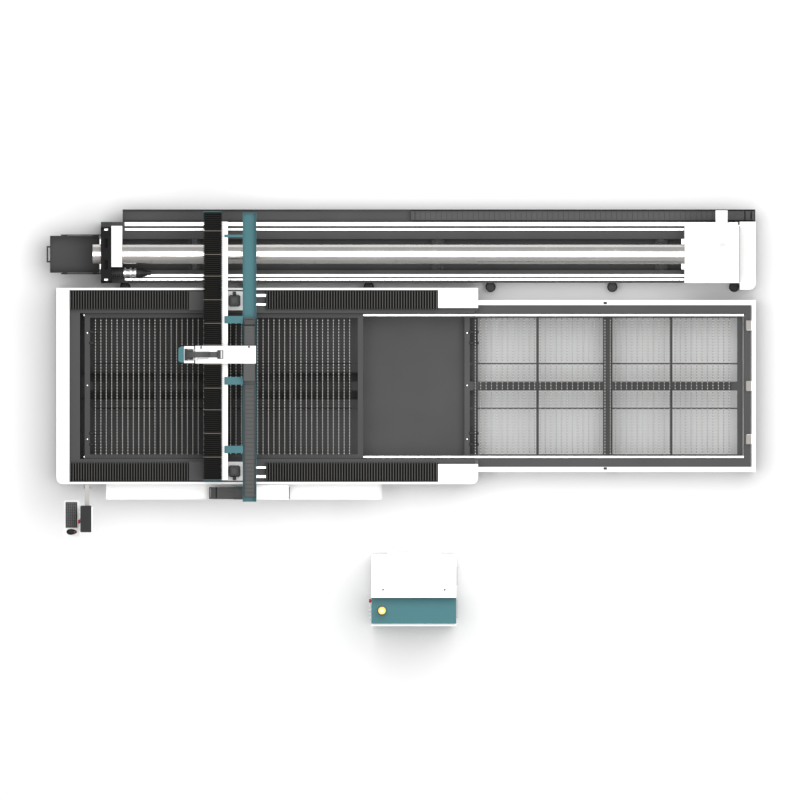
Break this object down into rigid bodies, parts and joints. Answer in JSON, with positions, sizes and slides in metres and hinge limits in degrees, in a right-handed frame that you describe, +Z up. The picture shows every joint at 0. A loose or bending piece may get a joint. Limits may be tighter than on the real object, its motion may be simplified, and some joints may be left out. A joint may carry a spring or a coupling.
{
  "type": "laser cutting machine",
  "caption": "Sheet and tube laser cutting machine: open gantry bed, pallet exchange table, chucked tube bed along the back, console on an arm and a separate power cabinet.",
  "frame": {"origin": "centre of the machine's plan outline, on the floor", "axes": "+X along the bed towards the exchange table, +Y towards the tube bed at the back, +Z up"},
  "size_m": [7.952, 4.664, 1.8],
  "materials": {
    "dark_paint": "dark grey satin powder coat",
    "white_paint": "white satin powder coat",
    "teal_paint": "teal satin powder coat",
    "ground_steel": "ground steel",
    "slat_steel": "mill steel slats",
    "tube_steel": "bright drawn tube",
    "bellows_cloth": "coated black pleats",
    "chain_plastic": "dark nylon links",
    "motor_black": "black motor paint",
    "console_black": "textured black plastic",
    "filter_grey": "light grey moulded grille",
    "support_steel": "dark painted lift",
    "stop_red": "red mushroom head",
    "button_white": "white button cap",
    "lamp_yellow": "yellow lens"
  },
  "bodies": {
    "root": {"bed_frame": "dark_paint", "scrap_hopper": "dark_paint", "left_end_cover": "white_paint", "side_covers": "white_paint", "linear_rails": "ground_steel", "x_bellows": "bellows_cloth", "levelling_feet": "ground_steel", "x_chain_trough": "white_paint", "x_drag_chain": "chain_plastic", "exchange_frame": "dark_paint", "exchange_covers": "white_paint", "track_rails": "ground_steel", "tube_bed_frame": "dark_paint", "tube_bed_end_cover": "white_paint", "feed_chain_tray": "dark_paint", "feed_drag_chain": "chain_plastic", "front_chuck_plate": "dark_paint", "front_chuck_cover": "white_paint", "chuck_drive": "motor_black", "console_bracket": "white_paint", "cabinet_rear_shell": "white_paint", "cabinet_front_shell": "teal_paint", "fan_filters": "filter_grey", "stack_light": "lamp_yellow"},
    "gantry": {"gantry_beam": "white_paint", "gantry_saddles": "dark_paint", "gantry_end_plates": "white_paint", "x_servo_motors": "motor_black", "y_bellows": "bellows_cloth", "cable_tray": "teal_paint", "y_drag_chain": "chain_plastic"},
    "carriage": {"carriage_plate": "white_paint", "z_drag_chain": "chain_plastic"},
    "head": {"cutting_head": "ground_steel", "head_cover": "white_paint", "head_cap": "teal_paint"},
    "upper_pallet": {"upper_pallet_frame": "dark_paint", "upper_pallet_slats": "slat_steel"},
    "lower_pallet": {"lower_pallet_frame": "dark_paint", "lower_pallet_slats": "slat_steel"},
    "rear_chuck": {"rear_chuck_saddle": "dark_paint", "rear_chuck_cover": "white_paint"},
    "rear_spindle": {"rear_spindle": "ground_steel", "steel_tube": "tube_steel"},
    "front_spindle": {"front_spindle": "ground_steel"},
    "tube_support_1": {"tube_support_1": "support_steel"},
    "tube_support_2": {"tube_support_2": "support_steel"},
    "tube_support_3": {"tube_support_3": "support_steel"},
    "parts_drawer": {"parts_drawer": "dark_paint"},
    "console_arm": {"console_arm": "white_paint"},
    "console": {"monitor": "console_black", "keyboard_tray": "white_paint", "keyboard": "console_black"},
    "console_stop": {"console_stop": "stop_red"},
    "cabinet_door": {"cabinet_door": "white_paint"},
    "cabinet_stop": {"cabinet_stop": "stop_red"},
    "cabinet_button_1": {"cabinet_button_1": "button_white"},
    "cabinet_button_2": {"cabinet_button_2": "button_white"},
    "cabinet_button_3": {"cabinet_button_3": "button_white"},
    "cabinet_button_4": {"cabinet_button_4": "button_white"}
  },
  "joints": [
    {"name": "gantry_travel", "type": "slide", "parent": "root", "child": "gantry", "axis": [1, 0, 0], "range_m": [-1.07, 1.7], "deforming": ["x_bellows", "x_drag_chain"]},
    {"name": "carriage_travel", "type": "slide", "parent": "gantry", "child": "carriage", "axis": [0, 1, 0], "range_m": [-1.12, 1.13], "deforming": ["y_bellows", "y_drag_chain"]},
    {"name": "head_lift", "type": "slide", "parent": "carriage", "child": "head", "axis": [0, 0, 1], "range_m": [-0.19, 0], "deforming": ["z_drag_chain"]},
    {"name": "upper_pallet_travel", "type": "slide", "parent": "root", "child": "upper_pallet", "axis": [1, 0, 0], "range_m": [0, 4.256]},
    {"name": "lower_pallet_travel", "type": "slide", "parent": "root", "child": "lower_pallet", "axis": [1, 0, 0], "range_m": [-4.256, 0]},
    {"name": "tube_feed", "type": "slide", "parent": "root", "child": "rear_chuck", "axis": [1, 0, 0], "range_m": [-5.375, 0], "deforming": ["feed_drag_chain"]},
    {"name": "rear_spindle_turn", "type": "hinge", "parent": "rear_chuck", "child": "rear_spindle", "pos_m": [3.312, 1.828, 0.75], "axis": [1, 0, 0], "continuous": true},
    {"name": "front_spindle_turn", "type": "hinge", "parent": "root", "child": "front_spindle", "pos_m": [-3.298, 1.828, 0.75], "axis": [1, 0, 0], "continuous": true},
    {"name": "tube_support_1_lift", "type": "slide", "parent": "root", "child": "tube_support_1", "axis": [0, 0, 1], "range_m": [0, 0.225]},
    {"name": "tube_support_2_lift", "type": "slide", "parent": "root", "child": "tube_support_2", "axis": [0, 0, 1], "range_m": [0, 0.225]},
    {"name": "tube_support_3_lift", "type": "slide", "parent": "root", "child": "tube_support_3", "axis": [0, 0, 1], "range_m": [0, 0.225]},
    {"name": "drawer_slide", "type": "slide", "parent": "root", "child": "parts_drawer", "axis": [1, 0, 0], "range_m": [-0.45, 0]},
    {"name": "console_arm_swing", "type": "hinge", "parent": "root", "child": "console_arm", "pos_m": [-3.514, -0.776, 1.042], "axis": [0, 0, 1], "range_deg": [-20, 60]},
    {"name": "console_swivel", "type": "hinge", "parent": "console_arm", "child": "console", "pos_m": [-3.514, -1.01, 1.092], "axis": [0, 0, 1], "range_deg": [-15, 45]},
    {"name": "console_stop_press", "type": "slide", "parent": "console", "child": "console_stop", "axis": [1, 0, 0], "range_m": [0, 0.005], "stiffness_N_per_m": 600},
    {"name": "cabinet_door_swing", "type": "hinge", "parent": "root", "child": "cabinet_door", "pos_m": [0.616, -2.30415, 0.15], "axis": [0, 0, 1], "range_deg": [0, 110]},
    {"name": "cabinet_stop_press", "type": "slide", "parent": "root", "child": "cabinet_stop", "axis": [1, 0, 0], "range_m": [0, 0.005], "stiffness_N_per_m": 600},
    {"name": "cabinet_button_1_press", "type": "slide", "parent": "root", "child": "cabinet_button_1", "axis": [1, 0, 0], "range_m": [0, 0.005], "stiffness_N_per_m": 600},
    {"name": "cabinet_button_2_press", "type": "slide", "parent": "root", "child": "cabinet_button_2", "axis": [1, 0, 0], "range_m": [0, 0.005], "stiffness_N_per_m": 600},
    {"name": "cabinet_button_3_press", "type": "slide", "parent": "root", "child": "cabinet_button_3", "axis": [1, 0, 0], "range_m": [0, 0.005], "stiffness_N_per_m": 600},
    {"name": "cabinet_button_4_press", "type": "slide", "parent": "root", "child": "cabinet_button_4", "axis": [1, 0, 0], "range_m": [0, 0.005], "stiffness_N_per_m": 600}
  ],
  "couplings": [
    {"joint": "lower_pallet_travel", "follows": "upper_pallet_travel", "ratio": -1},
    {"joint": "front_spindle_turn", "follows": "rear_spindle_turn", "ratio": 1}
  ]
}
